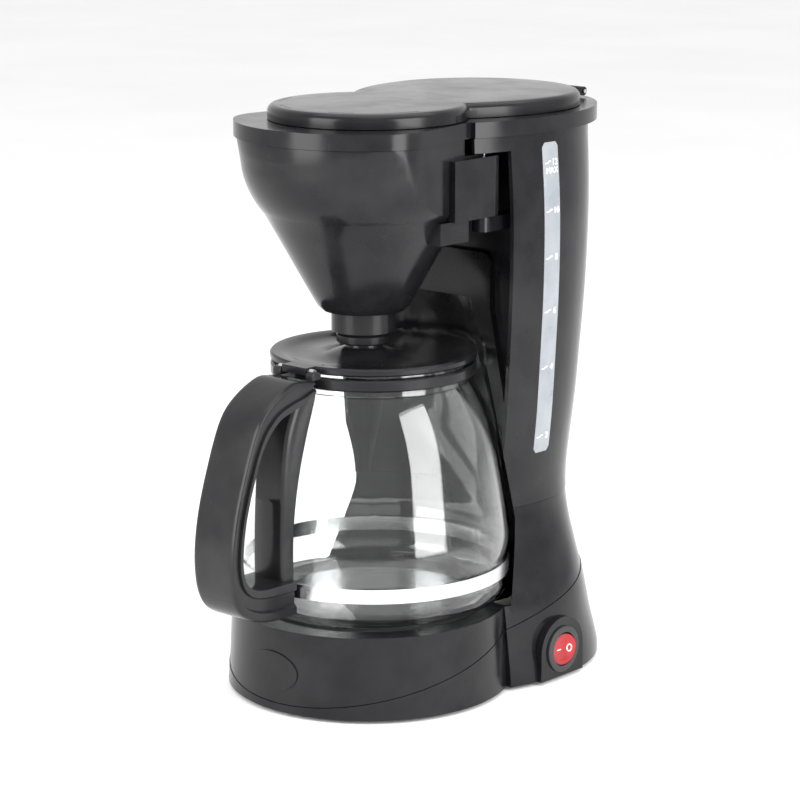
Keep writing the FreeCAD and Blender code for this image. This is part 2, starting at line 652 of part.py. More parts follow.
def funnel():
    item_shift = size("drip_back")
    top = size("funnel_top")
    trim_low = size("funnel_root_rise") - 10
    rear = size("funnel_rear")

    def trimmed(inset):
        cone = funnel_profile(inset, top + (1 if inset else 0))
        cone.translate(V(0, item_shift, 0))
        lobe_plan = plan_prism(front_lobe_wire(size("funnel_inset") + inset), trim_low, top + 1)
        half = size("rim_waist_half - funnel_inset") - inset
        waist_box = block(-half, half, size("rim_waist_back") - 1, rear - inset, trim_low, top + 1)
        return cone.common(lobe_plan.fuse(waist_box))

    out, back = size("pin_out"), size("pin_back")
    hollow = trimmed(size("funnel_wall"))
    neck = cylinder(size("neck_radius"), size("neck_under"), size("neck_top") + 4, 0, item_shift)
    shell = trimmed(0).fuse(neck)
    low, high = size("block_under"), size("block_top")
    barrel = cylinder(size("barrel_radius"), low, high, out, back)
    face_out = size("block_half_out")
    shell = shell.fuse(barrel).fuse(block(out - size("barrel_radius"), face_out,
                                          size("block_front"), back, low, high))
    shell = shell.fuse(block(out - size("barrel_radius"), size("step_out"), size("step_front"),
                             size("step_back"), size("step_under"), low))
    shell = shell.cut(hollow)
    shell = shell.cut(cylinder(size("neck_bore"), size("neck_under + neck_floor"),
                               size("funnel_root_rise") + 2, 0, item_shift))
    shell = shell.cut(cylinder(size("drip_bore"), 150, size("funnel_root_rise") + 2, 0, item_shift))
    shell = shell.cut(cylinder(size("scallop_radius"), size("strip_under") - 1.2, top + 5, out, back))
    strip_room = block(-120, 120, size("strip_front") - 0.8, 200, size("strip_under") - 1.2, top + 5)
    shell = shell.cut(strip_room.cut(lobe(wall + 0.7, size("strip_front") - 10)))
    shell = shell.cut(cylinder(size("pin_radius + running_gap"), low - 20, top + 5, out, back))
    return piece("filter_funnel", max(shell.Solids, key=lambda solid: solid.Volume))


def hinge_bracket():
    """Two lugs on the tank that hold the funnel's pin above and below its barrel."""
    out, back = size("pin_out"), size("pin_back")
    half = size("pin_radius") + 3.5
    top_low = size("block_top") + 1.2
    lower = block(out - half, out + half, back, size("panel_front"),
                  size("block_under") - 1.0 - size("arm_thick"), size("block_under") - 1.0)
    lower = lower.fuse(cylinder(half, size("block_under") - 1.0 - size("arm_thick"),
                                size("block_under") - 1.0, out, back))
    upper = block(out - half, out + half, back, size("panel_front"), top_low, size("tank_top"))
    upper = upper.fuse(cylinder(half, top_low, size("tank_top"), out, back))
    room = lobe(wall + 0.3, size("strip_front") - 10)
    lugs = Part.makeCompound([lug.common(room.fuse(block(-60, 60, 0, size("cheek_front") - 0.3, 0, 303)))
                              .cut(cylinder(size("pin_radius"), 200, 400, out, back))
                              for lug in (lower, upper)])
    return piece("hinge_bracket", lugs)


def hinge_pin():
    item = body("funnel_hinge_pin")
    drawing = sketch(item, "Section", "XY_Plane",
                     "Sheet.block_under - Sheet.arm_thick - 1")
    circle(drawing, "Sheet.pin_radius", ("Sheet.pin_out", "Sheet.pin_back"))
    padded(item, drawing, "Sheet.tank_top - Sheet.block_under + Sheet.arm_thick + 0.8")


def filter_insert():
    """Thin basket for the paper filter, standing inside the funnel on its cone."""
    gap, skin = size("insert_gap"), size("insert_wall")
    root = size("funnel_root_radius - funnel_wall") - gap
    root_rise = size("funnel_root_rise") + 0.4
    top = size("funnel_shoulder_rise") - size("insert_drop")
    slope = (size("funnel_shoulder_radius") - size("funnel_root_radius")) * 0.93 / (
        (size("funnel_shoulder_rise") - size("funnel_root_rise")) * 0.86)
    upper = min(root + slope * (top - root_rise), size("rim_waist_half - funnel_inset - funnel_wall") - gap)
    bend = root_rise + (upper - root) / slope
    basket = spun([(0, root_rise), (root, root_rise), (upper, bend), (upper, top),
                   (upper - skin, top), (upper - skin, bend), (root - skin, root_rise + skin),
                   (0, root_rise + skin)], size("drip_back"))
    for i in range(12):
        turn = math.radians(30 * i)
        hole = cylinder(1.5, root_rise - 5, root_rise + 5, 12 * math.cos(turn),
                        size("drip_back") + 12 * math.sin(turn))
        basket = basket.cut(hole)
    return piece("filter_insert", basket)


def drip_parts():
    """Drip stop: a plug on a stem, its seal, its spring and the cap that holds the spring."""
    seat = "Sheet.neck_under + Sheet.neck_floor"
    plug_low = seat + " + 2 * Sheet.seal_cord + 0.1"
    plug_top = plug_low + " + Sheet.plug_thick"
    valve = body("drip_valve", DRIP_AXIS)
    turned(valve, [("0", "Sheet.neck_under - Sheet.stem_lap + 1.0"),
                   ("Sheet.stem_radius", "Sheet.neck_under - Sheet.stem_lap + 1.0"),
                   ("Sheet.stem_radius", plug_low), ("Sheet.plug_radius", plug_low),
                   ("Sheet.plug_radius", plug_top), ("0", plug_top)])
    seal = body("drip_seal", DRIP_AXIS)
    middle = "(%s) + Sheet.seal_cord + 0.05" % seat
    turned(seal, [("Sheet.seal_radius - Sheet.seal_cord", middle),
                  ("Sheet.seal_radius", "(%s) - Sheet.seal_cord" % middle, "bow"),
                  ("Sheet.seal_radius + Sheet.seal_cord", middle),
                  ("Sheet.seal_radius", "(%s) + Sheet.seal_cord" % middle, "bow")])
    cap = body("spring_cap", DRIP_AXIS)
    cap_low = plug_top + " + Sheet.spring_long - 3.4"
    turned(cap, [("3", cap_low), ("Sheet.neck_bore - 0.2", cap_low),
                 ("Sheet.neck_bore - 0.2", cap_low + " + Sheet.cap_thick"),
                 ("3", cap_low + " + Sheet.cap_thick")])
    drawing = sketch(cap, "Drain", "XY_Plane", cap_low + " - 1")
    circle(drawing, "1.6", ("8", "0"))
    drain = pocket(cap, drawing, "Sheet.cap_thick + 2", "DrainHole", reverse=True)
    ring = cap.newObject("PartDesign::PolarPattern", "DrainHoles")
    ring.Originals = [drain]
    ring.Axis = (drawing, ["N_Axis"])
    ring.Angle = 360
    ring.Occurrences = 6
    cap.Tip = ring
    low = size("neck_under + neck_floor + 2 * seal_cord + 0.1 + plug_thick")
    long = size("spring_long") - 3.4
    wire = size("spring_wire")
    turns = size("spring_turns")
    helix = Part.makeHelix((long - 2 * wire - 0.2) / turns, long - 2 * wire - 0.2, size("spring_radius"))
    start = Part.Wire(Part.makeCircle(wire, V(size("spring_radius"), 0, 0), V(0, 1, 0)))
    spring = Part.Wire(helix).makePipeShell([start], True, True)
    spring.translate(V(0, size("drip_back"), low + wire + 0.1))
    piece("valve_spring", spring)


# ---------------------------------------------------------------- pot
def glass_profile(inset):
    """Half section of the pot's glass from its floor to its lip, as a full solid."""
    floor_rise = size("pot_floor") + inset
    heel = size("pot_floor_radius")
    belly, belly_rise = size("pot_belly_radius") - inset, size("pot_belly_rise")
    band_low = size("band_under") - 3
    neck = size("pot_neck_radius") - inset
    shoulder = size("pot_shoulder_radius") - inset
    shoulder_rise = size("pot_shoulder_rise")
    neck_rise = size("pot_neck_rise")
    low_radius = belly - 1.4
    return spun([(0, floor_rise), (heel, floor_rise),
                 [(low_radius - 2.6, floor_rise + 3.4), (low_radius, band_low)],
                 (low_radius, size("band_top") + 1),
                 [(belly, belly_rise), (belly - 0.6, belly_rise + 9)],
                 [(shoulder + 2.6, (shoulder_rise + belly_rise + 9) / 2 + 3), (shoulder, shoulder_rise)],
                 [(shoulder - 6.4, (shoulder_rise + neck_rise) / 2 + 2), (neck, neck_rise)],
                 (0, neck_rise)], size("pot_back"))


def lip_wire(rise, radius, reach):
    """The lip's plan: a circle drawn out into a pouring spout towards +Y."""
    points = []
    for i in range(48):
        turn = math.radians(7.5 * i)
        off = math.atan2(math.sin(turn - math.pi / 2), math.cos(turn - math.pi / 2))
        grown = radius + reach * math.exp(-(off / size("spout_spread")) ** 2)
        points.append(V(grown * math.cos(turn), size("pot_back") + grown * math.sin(turn), rise))
    curve = Part.BSplineCurve()
    curve.interpolate(points, PeriodicFlag=True)
    return Part.Wire([curve.toShape()])


def lip_solid(inset):
    low, high = size("pot_neck_rise"), size("pot_lip_rise")
    wires = [lip_wire(low, size("pot_neck_radius + lip_step") - inset, 0.0),
             lip_wire(high, size("pot_lip_radius") - inset, size("spout_reach"))]
    return Part.makeLoft(wires, True, True)


def pot_glass():
    thick = size("glass_wall")
    jar = glass_profile(0).cut(glass_profile(thick))
    return piece("pot_glass", jar.fuse(lip_solid(0).cut(lip_solid(thick))))


def pot_rings():
    low_radius = "(Sheet.pot_belly_radius - 1.4 + Sheet.band_gap)"
    band = body("pot_band", POT_AXIS)
    turned(band, [(low_radius, "Sheet.band_under"),
                  (low_radius + " + Sheet.band_thick", "Sheet.band_under"),
                  (low_radius + " + Sheet.band_thick", "Sheet.band_top"),
                  (low_radius, "Sheet.band_top")])
    collar = body("pot_collar", POT_AXIS)
    bore = "Sheet.pot_neck_radius + 0.3"
    turned(collar, [(bore, "Sheet.collar_under"), ("Sheet.collar_radius - 1", "Sheet.collar_under"),
                    ("Sheet.collar_radius", "Sheet.collar_under + 1"),
                    ("Sheet.collar_radius", "Sheet.collar_top - 1"),
                    ("Sheet.collar_radius - 1", "Sheet.collar_top"), (bore, "Sheet.collar_top")])
    spout_gap = sketch(collar, "SpoutGap", "XY_Plane", "Sheet.collar_under - 1")
    outline(spout_gap, [("-22", "40"), ("22", "40"), ("26", "70"), ("-26", "70")])
    pocket(collar, spout_gap, "Sheet.collar_top - Sheet.collar_under + 2", "SpoutNotch", reverse=True)


def pot_lid():
    """Lid: a ring, a dished cone and the round button that meets the drip stop."""
    low, side = size("pot_lid_under"), size("pot_lid_side")
    radius, shift = size("pot_lid_radius"), size("pot_back")
    ring = spun([(0, low), (radius - 1, low), (radius, low + 1), (radius, low + side - 1),
                 (radius - 1, low + side), (radius - 5, low + side),
                 (size("cone_root_radius"), low + side - 2), (0, low + side - 2)], shift)
    top = size("cone_top")
    drip = size("drip_back")
    foot = size("cone_foot_radius")
    cone = spun([(0, low), (foot, low), (foot, low + side - 2), (size("cone_top_radius"), top - 1),
                 (size("button_stem_radius"), top), (size("button_stem_radius"), top + 1.5),
                 (size("button_radius") - 0.8, top + 1.5), (size("button_radius"), top + 2.3),
                 (size("button_radius"), size("button_top") - 1.2),
                 (size("button_radius") - 1.2, size("button_top")), (0, size("button_top"))], drip)
    lid = ring.fuse(cone)
    hollow = spun([(0, low - 1), (foot - 2, low - 1), (size("cone_top_radius") - 2, top - 2.4),
                   (0, top - 2.4)], drip)
    lid = lid.cut(hollow)
    lid = lid.cut(cylinder(size("button_bore"), low - 1, size("button_top") + 1, 0, drip))
    tab_front = shift - radius
    lid = lid.fuse(block(-size("tab_half"), size("tab_half"), tab_front - 6, tab_front + 8, low + 0.2, low + side))
    rod = Part.makeCylinder(size("lid_rod_radius + running_gap"), 60, V(-30, tab_front - 3.4, low + side / 2),
                            V(1, 0, 0))
    return piece("pot_lid", lid.cut(rod))


def pot_lid_rod():
    item = body("pot_lid_rod", POT_AXIS)
    drawing = sketch(item, "Section", "YZ_Plane")
    circle(drawing, "Sheet.lid_rod_radius", ("-Sheet.pot_lid_radius - 3.4", "Sheet.pot_lid_under + Sheet.pot_lid_side / 2"))
    padded(item, drawing, "2 * Sheet.grip_half - 4", both_ways=True)


def pot_handle():
    """Grip and strap: one moulding that hooks round the collar and stands on the steel band."""
    item = body("pot_handle")
    reach = "-Sheet.handle_reach"
    thick = "Sheet.grip_thick"
    grip = sketch(item, "GripSide", "YZ_Plane")
    outline(grip, [
        ("-58.5", "Sheet.collar_under - 1"), ("-56.2", "Sheet.collar_top - 0.6"),
        ("-60", "Sheet.pot_lid_under - 0.8"), ("-72", "Sheet.pot_lid_under - 0.8"),
        (reach + " + 22", "172"), (reach + " + 7", "135"),
        (reach, "96"), (reach + " + 1.6", "80"),
        (reach + " + 6", "66", "bow"), (reach + " + 18", "59.5"),
        ("-76", "Sheet.band_under - 9"), ("-73.6", "Sheet.band_under - 9"),
        ("-73.6", "Sheet.band_top + 3"), ("-88", "Sheet.band_top + 3"),
        (reach + " + 20 ", "Sheet.band_top + 4"),
        (reach + " + 2 + " + thick, "82", "bow"), (reach + " + " + thick, "98"),
        (reach + " + 6.6 + " + thick, "134"), (reach + " + 18 + " + thick, "160"),
        ("-84", "171"), ("-70", "171")])
    padded(item, grip, "2 * Sheet.grip_half", "Grip", both_ways=True)
    strap = sketch(item, "StrapSide", "YZ_Plane")
    back_low = "Sheet.pot_back - Sheet.pot_belly_radius - 0.2"
    outline(strap, [
        (back_low, "Sheet.band_top + 1.2"), (back_low, "94"),
        ("Sheet.pot_back - Sheet.pot_shoulder_radius - 3.4", "(Sheet.pot_shoulder_rise + 94) / 2 + 3", "bow"),
        ("Sheet.pot_back - Sheet.pot_shoulder_radius - 0.6", "Sheet.pot_shoulder_rise"),
        ("Sheet.pot_back - 64.7", "156", "bow"), ("-54.4", "Sheet.collar_under - 1.5"),
        ("-70", "Sheet.collar_under - 1.5"), ("-77", "156"),
        ("-80 + 0.5", "140"), ("-81.5", "Sheet.band_top + 2")])
    padded(item, strap, "2 * Sheet.strap_half", "Strap", both_ways=True)
    axis = ("-Sheet.pot_lid_radius + Sheet.pot_back - 3.4", "Sheet.pot_lid_under + Sheet.pot_lid_side / 2")
    for name, side in (("RightEar", "Sheet.tab_half + 0.4"), ("LeftEar", "-Sheet.grip_half")):
        ear = sketch(item, name + "Side", "YZ_Plane", side)
        outline(ear, [(axis[0] + " - 3.6", "Sheet.pot_lid_under - 1.2"),
                      (axis[0] + " + 3", "Sheet.pot_lid_under - 1.2"), (axis[0] + " + 3", axis[1]),
                      (axis[0], axis[1] + " + 3", "bow"), (axis[0] + " - 3.6", axis[1])])
        padded(item, ear, "Sheet.grip_half - Sheet.tab_half - 0.4", name)
    rod = sketch(item, "RodBore", "YZ_Plane")
    circle(rod, "Sheet.lid_rod_radius + 0.04", axis)
    pocket(item, rod, "2 * Sheet.grip_half + 2", "RodBoreCut", both_ways=True)
    head = ("0", reach + " + Sheet.handle_screw_in")
    for name, radius, top in (("HeadBore", "Sheet.screw_head_radius + 0.2", "Sheet.band_under - 4"),
                              ("ShankBore", "Sheet.screw_radius + 0.2", "Sheet.band_under + 4")):
        bore = sketch(item, name, "XY_Plane", top)
        circle(bore, radius, head)
        pocket(item, bore, "24", name + "Cut")
    return item


def handle_screw():
    """Countersunk screw that clamps the grip's foot to the band's bracket."""
    item = body("handle_screw")
    axis = ("0", "-Sheet.handle_reach + Sheet.handle_screw_in")
    low = "Sheet.band_under - 4.2 - Sheet.screw_head_thick"
    drawing = sketch(item, "HeadSection", "XY_Plane", low)
    circle(drawing, "Sheet.screw_head_radius", axis)
    padded(item, drawing, "Sheet.screw_head_thick", "Head")
    shank = sketch(item, "ShankSection", "XY_Plane", low)
    circle(shank, "Sheet.screw_radius", axis)
    padded(item, shank, "Sheet.screw_head_thick + 7", "Shank")


# ---------------------------------------------------------------- hot plate and works
def hot_plate():
    plate = body("warming_plate")
    low, lip = "Sheet.plate_top - Sheet.plate_thick", "Sheet.plate_lip"
    outer, top = "Sheet.plate_radius", "Sheet.plate_top"
    deck_seat = "Sheet.deck_rise - 1.2 + 0.7"
    turned(plate, [("0", low), (outer + " - 4", low), (outer + " - 4", deck_seat),
                   (outer, deck_seat), (outer, top + " - 0.4"), (outer + " - 2", top), ("0", top)])
    seal = body("plate_seal")
    turned(seal, [(outer + " - " + lip + " + 0.2", "Sheet.deck_rise - 1.2"),
                  (outer + " + Sheet.seal_width - 0.1", "Sheet.deck_rise - 1.2"),
                  (outer + " + Sheet.seal_width - 0.1", "Sheet.deck_rise + 0.3"),
                  (outer + " + 0.1", "Sheet.deck_rise + 0.3"), (outer + " + 0.1", deck_seat),
                  (outer + " - " + lip + " + 0.2", deck_seat)])


def bent_tube(points, radius, bend):
    """A round tube along straight runs joined by tangent arcs."""
    edges = []
    here = points[0]
    for before, corner, after in zip(points, points[1:], points[2:]):
        into = (corner - before).normalize()
        out = (after - corner).normalize()
        half_turn = into.getAngle(out) / 2
        back_off = bend * math.tan(half_turn)
        start, end = corner - into * back_off, corner + out * back_off
        inward = (out - into).normalize()
        centre = corner + inward * (bend / math.cos(half_turn))
        middle = centre - inward * bend
        edges.append(Part.LineSegment(here, start).toShape())
        edges.append(Part.Arc(start, middle, end).toShape())
        here = end
    edges.append(Part.LineSegment(here, points[-1]).toShape())
    path = Part.Wire(edges)
    heading = points[1] - points[0]
    profile = Part.Wire(Part.makeCircle(radius, points[0], heading))
    return path.makePipeShell([profile], True, False)


def heater():
    """Aluminium casting under the plate: a heating tube and a water tube side by side."""
    top = size("plate_top - plate_thick - heater_drop")
    radius, tube = size("heater_arc_radius"), size("heater_tube_radius")
    arc = Part.makeTorus(radius, tube, V(0, 0, top - tube), V(0, 0, 1), 0, 360, 250)
    arc.rotate(V(0, 0, 0), V(0, 0, 1), 145)
    water = Part.makeTorus(radius, size("water_tube_radius") - 1.5,
                           V(0, 0, top - 2 * tube - size("water_tube_radius") + 2.2), V(0, 0, 1), 0, 360, 250)
    water.rotate(V(0, 0, 0), V(0, 0, 1), 145)
    return piece("heater_casting", arc.fuse(water))


def thermostat():
    top = size("plate_top - plate_thick - heater_drop")
    cup = cylinder(size("thermostat_radius"), top - size("thermostat_thick"), top)
    flange = block(-14, 14, -4, 4, top - 1.2, top)
    legs = block(-3.4, -2.6, -2, 2, top - 14, top - 5).fuse(block(2.6, 3.4, -2, 2, top - 14, top - 5))
    return piece("thermostat", cup.fuse(flange).fuse(legs))


def riser_tube():
    """Hot water pipe up inside the tank, over the rim of the tank wall and down to the spray head."""
    out, back = -size("riser_out"), size("riser_back")
    top = size("rim_under") + 2.6
    head = V(0, size("drip_back"), top)
    toward = (V(out, back, top) - head).normalize()
    path = [V(out, back, size("deck_rise") + 4.1 - size("socket_deep")), V(out, back, top),
            head + toward * (size("spray_radius") + 0.15)]
    return piece("riser_tube", bent_tube(path, size("riser_radius"), 9.0))


def spray_head():
    item = body("spray_head", DRIP_AXIS)
    low = "Sheet.rim_under + 0.2"
    turned(item, [("0", low), ("Sheet.spray_radius", low), ("Sheet.spray_radius", "Sheet.rim_under + 5.6"), ("14", "Sheet.rim_under + 6"),
                  ("0", "Sheet.rim_under + 6")])
    drawing = sketch(item, "SprayHole", "XY_Plane", low + " - 1")
    circle(drawing, "1.2", ("17", "0"))
    hole = pocket(item, drawing, "3.2", "SprayHoleCut", reverse=True)
    ring = item.newObject("PartDesign::PolarPattern", "SprayHoles")
    ring.Originals = [hole]
    ring.Axis = (drawing, ["N_Axis"])
    ring.Angle = 360
    ring.Occurrences = 10
    item.Tip = ring


# ---------------------------------------------------------------- hoses, switch and small parts
def hoses():
    """Cold water runs from the tank's outlet to the heater, hot water from it to the riser."""
    level = size("plate_top - plate_thick - heater_drop") - 2 * size("heater_tube_radius")
    level -= size("water_tube_radius") - 2.2
    radius = size("heater_arc_radius")
    out, back = size("outlet_out"), size("outlet_back")
    ends = [math.radians(angle) for angle in (35, 145)]
    nipple = size("water_tube_radius") - 1.5
    cold = [V(out, back, size("tank_floor_rise") - 1.0), V(out, back, level),
            V(radius * math.cos(ends[0]) + 4, radius * math.sin(ends[0]) + nipple + 4, level)]
    hot_top = size("deck_rise") + 4
    hot = [V(-size("riser_out"), size("riser_back"), hot_top),
           V(-size("riser_out"), size("riser_back"), level),
           V(radius * math.cos(ends[1]) - 4, radius * math.sin(ends[1]) + nipple + 4, level)]
    spigot = cylinder(size("hose_bore"), size("tank_floor_rise") - 10.1, size("tank_floor_rise"), out, back)
    piece("cold_hose", bent_tube(cold, size("hose_radius"), 14.0).cut(spigot))
    socket = cylinder(size("riser_radius"), hot_top - size("socket_deep"), hot_top + 1,
                      -size("riser_out"), size("riser_back"))
    piece("hot_hose", bent_tube(hot, size("hot_hose_radius"), 9.0).cut(socket))


def check_valve():
    """Non-return valve in the outlet, above the cold hose."""
    item = body("check_valve")
    out, back = "Sheet.outlet_out", "Sheet.outlet_back"
    drawing = sketch(item, "Section", "XY_Plane", "Sheet.tank_floor_rise + Sheet.tank_floor_thick + 0.2")
    circle(drawing, "Sheet.hose_radius", (out, back))
    padded(item, drawing, "6", "Housing")
    bore = sketch(item, "Bore", "XY_Plane", "Sheet.tank_floor_rise + Sheet.tank_floor_thick")
    circle(bore, "Sheet.hose_bore - 1", (out, back))
    pocket(item, bore, "12", "BoreCut", reverse=True)


def switch():
    """Round rocker switch in the flat pad: bezel with its body, and the rocker on its pivot."""
    out, back, rise = size("pad_out"), size("switch_back"), size("switch_rise")
    proud, depth = size("bezel_proud"), size("switch_depth")
    ring = Part.makeCylinder(size("bezel_radius"), proud, V(out, back, rise), V(1, 0, 0))
    ring = ring.makeFillet(0.6, [e for e in ring.Edges if e.BoundBox.XMin > out + proud - 0.01])
    barrel = Part.makeCylinder(size("bezel_bore") + 0.7, depth, V(out - depth, back, rise), V(1, 0, 0))
    room = Part.makeCylinder(size("bezel_bore"), 40, V(out - depth + 3, back, rise), V(1, 0, 0))
    blades = [block(out - depth - 6, out - depth + 1, back - 3, back + 3, rise + dz - 0.4, rise + dz + 0.4)
              for dz in (-5, 0, 5)]
    housing = ring.fuse(barrel).cut(room)
    for blade in blades:
        housing = housing.fuse(blade)
    pivot = Part.makeCylinder(0.8, 60, V(out - 2.5, back, rise - 30), V(0, 0, 1))
    piece("switch_bezel", housing.fuse(pivot.common(barrel)))
    radius = size("rocker_radius")
    cap = Part.makeCylinder(radius, 7.2, V(out - 5.6, back, rise), V(1, 0, 0))
    sphere = Part.makeSphere(26.0, V(out + proud + 0.3 + 24.9, back, rise))
    cap = cap.cut(sphere)
    cap = cap.cut(Part.makeCylinder(0.87, 60, V(out - 2.5, back, rise - 30), V(0, 0, 1)))
    cap.rotate(V(out - 2.5, back, rise), V(0, 0, 1), -size("rocker_tilt"))
    piece("rocker", cap)


def badge():
    """Blank oval plate on the front of the base."""
    slope = (size("drum_foot_radius") - size("drum_top_radius")) / (deck - size("foot_rise"))
    skin = drum(step - 0.16 - size("badge_thick"), 8, 42).cut(drum(step - 0.16, 7, 43))
    oval = Part.Ellipse(V(0, 0, 0), size("badge_half_wide"), size("badge_half_high")).toShape()
    face = Part.Face(Part.Wire(oval))
    plug = face.extrude(V(0, 0, 60))
    plug.rotate(V(0, 0, 0), V(1, 0, 0), 90)
    plug.translate(V(0, -40, size("badge_rise")))
    return piece("badge", skin.common(plug)) if slope >= 0 else None


def rubber_feet():
    feet = [cylinder(size("foot_radius") - 0.2, 0, size("foot_thick"), x, y) for x, y in foot_places()]
    return piece("rubber_feet", Part.makeCompound(feet))


def cord_gland():
    """Bush in the rear wall of the bottom shell for the mains lead."""
    rise, bore = size("gland_rise"), size("gland_bore")
    radius = size("gland_radius")
    rear = size("foot_rear") - 1.6
    bush = Part.makeCylinder(radius - 0.1, 12, V(0, rear - 7, rise), V(0, 1, 0))
    flange = Part.makeCylinder(radius + 2.5, 2, V(0, rear + 1.8, rise), V(0, 1, 0))
    bush = bush.fuse(flange).cut(Part.makeCylinder(bore, 60, V(0, rear - 30, rise), V(0, 1, 0)))
    return piece("cord_gland", bush)


def terminal_block():
    """Block with two screw terminals on the bottom shell's floor."""
    low = floor_top
    back = size("widest_back") + 34
    item = block(-16, 16, back - 7, back + 7, low, low + 11)
    for x in (-8, 8):
        item = item.cut(cylinder(2.2, low + 4, low + 20, x, back))
    return piece("terminal_block", item)


# ---------------------------------------------------------------- build, check and write
bottom_shell()
base_screws()
base_shell()
tank_shell()
water_window()
front_panel()
tower_cover()
tank_floor()
top_rim()
top_lid()
lid_hinge_rod()
funnel()
hinge_bracket()
hinge_pin()
filter_insert()
drip_parts()
pot_glass()
pot_rings()
pot_lid()
pot_lid_rod()
pot_handle()
handle_screw()
hot_plate()
heater()
thermostat()
riser_tube()
spray_head()
hoses()
check_valve()
switch()
badge()
rubber_feet()
cord_gland()
terminal_block()
doc.recompute()

for item in doc.Objects:
    if "Invalid" in item.State or "Error" in item.State:
        raise RuntimeError("%s failed: %s" % (item.Label, item.State))
for item in parts:
    if item.Shape.isNull() or not item.Shape.isValid():
        raise RuntimeError("%s has no valid shape" % item.Label)

os.makedirs("parts", exist_ok=True)
for item in parts:
    item.Shape.exportStep("parts/%s.step" % item.Label)
print("%d sub-parts written" % len(parts))
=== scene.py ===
import json
import math

import bmesh
import bpy
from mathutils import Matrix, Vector
from mathutils.bvhtree import BVHTree


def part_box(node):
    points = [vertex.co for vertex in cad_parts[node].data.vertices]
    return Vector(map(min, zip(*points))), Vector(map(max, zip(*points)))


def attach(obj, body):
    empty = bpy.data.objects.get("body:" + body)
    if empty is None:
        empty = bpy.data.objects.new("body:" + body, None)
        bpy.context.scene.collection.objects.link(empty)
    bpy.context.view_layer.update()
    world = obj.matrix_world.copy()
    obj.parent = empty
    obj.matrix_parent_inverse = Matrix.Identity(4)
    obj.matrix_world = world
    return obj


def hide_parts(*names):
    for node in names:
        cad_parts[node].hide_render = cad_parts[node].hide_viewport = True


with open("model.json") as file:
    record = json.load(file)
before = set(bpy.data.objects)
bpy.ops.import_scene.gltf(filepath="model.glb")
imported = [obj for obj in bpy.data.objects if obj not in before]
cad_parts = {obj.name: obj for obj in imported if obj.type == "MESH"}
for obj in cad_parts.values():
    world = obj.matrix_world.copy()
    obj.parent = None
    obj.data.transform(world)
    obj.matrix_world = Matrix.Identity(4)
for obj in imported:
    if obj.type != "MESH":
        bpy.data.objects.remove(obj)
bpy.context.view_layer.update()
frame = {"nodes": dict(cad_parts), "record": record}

MM = 0.001
scene = bpy.context.scene


# ---------------------------------------------------------------- places read from the frame
def middle(node):
    low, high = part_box(node)
    return (low + high) / 2


FRONT = middle("warming_plate").y / MM


# ---------------------------------------------------------------- materials
class Nodes:
    """A material's node tree with short ways to add and join nodes."""

    def __init__(self, name):
        self.material = bpy.data.materials.new(name)
        self.material.use_nodes = True
        self.tree = self.material.node_tree
        self.tree.nodes.clear()
        self.out = self.add("ShaderNodeOutputMaterial")
        self.shader = self.add("ShaderNodeBsdfPrincipled")
        self.join(self.shader, "BSDF", self.out, "Surface")
        self.where = self.add("ShaderNodeTexCoord")

    def add(self, kind, **values):
        node = self.tree.nodes.new(kind)
        for key, value in values.items():
            setattr(node, key, value)
        return node

    def join(self, a, a_name, b, b_name):
        self.tree.links.new(a.outputs[a_name], b.inputs[b_name])

    def set(self, **values):
        for key, value in values.items():
            self.shader.inputs[key.replace("_", " ")].default_value = value

    def noise(self, scale, detail=3.0, stretch=None, rough=0.55):
        node = self.add("ShaderNodeTexNoise")
        node.inputs["Scale"].default_value = scale
        node.inputs["Detail"].default_value = detail
        node.inputs["Roughness"].default_value = rough
        if stretch:
            mapping = self.add("ShaderNodeMapping")
            mapping.inputs["Scale"].default_value = stretch
            self.join(self.where, "Object", mapping, "Vector")
            self.join(mapping, "Vector", node, "Vector")
        else:
            self.join(self.where, "Object", node, "Vector")
        return node

    def spread(self, source, output, low_in, high_in, low_out, high_out):
        node = self.add("ShaderNodeMapRange")
        for name, value in (("From Min", low_in), ("From Max", high_in), ("To Min", low_out),
                            ("To Max", high_out)):
            node.inputs[name].default_value = value
        self.join(source, output, node, "Value")
        return node

    def bump(self, source, output, strength, distance, before=None):
        node = self.add("ShaderNodeBump")
        node.inputs["Strength"].default_value = strength
        node.inputs["Distance"].default_value = distance
        self.join(source, output, node, "Height")
        if before:
            self.join(before, "Normal", node, "Normal")
        self.join(node, "Normal", self.shader, "Normal")
        return node

    def tint(self, source, output, dark, light, low=0.35, high=0.65):
        ramp = self.add("ShaderNodeValToRGB")
        ramp.color_ramp.elements[0].position = low
        ramp.color_ramp.elements[1].position = high
        ramp.color_ramp.elements[0].color = (*dark, 1)
        ramp.color_ramp.elements[1].color = (*light, 1)
        self.join(source, output, ramp, "Fac")
        self.join(ramp, "Color", self.shader, "Base Color")
        return ramp


def gloss_black(name, dark=(0.006, 0.006, 0.007), light=(0.012, 0.012, 0.013), rough=(0.15, 0.25)):
    """High-gloss moulded plastic: faint sink marks, orange peel, smudges and fine scratches."""
    m = Nodes(name)
    m.set(IOR=1.5, Specular_IOR_Level=0.22)
    smudge = m.noise(38.0, 5.0)
    m.tint(smudge, "Fac", dark, light)
    smear = m.spread(smudge, "Fac", 0.35, 0.7, *rough)
    scratch = m.noise(420.0, 2.0, (1.0, 1.0, 0.06))
    marks = m.spread(scratch, "Fac", 0.66, 0.8, 0.0, 0.10)
    total = m.add("ShaderNodeMath", operation="ADD")
    m.tree.links.new(smear.outputs[0], total.inputs[0])
    m.tree.links.new(marks.outputs[0], total.inputs[1])
    m.tree.links.new(total.outputs[0], m.shader.inputs["Roughness"])
    wave = m.noise(22.0, 1.0)
    peel = m.noise(900.0, 2.0)
    first = m.bump(wave, "Fac", 0.05, 0.0015)
    m.bump(peel, "Fac", 0.03, 0.00008, first)
    return m.material


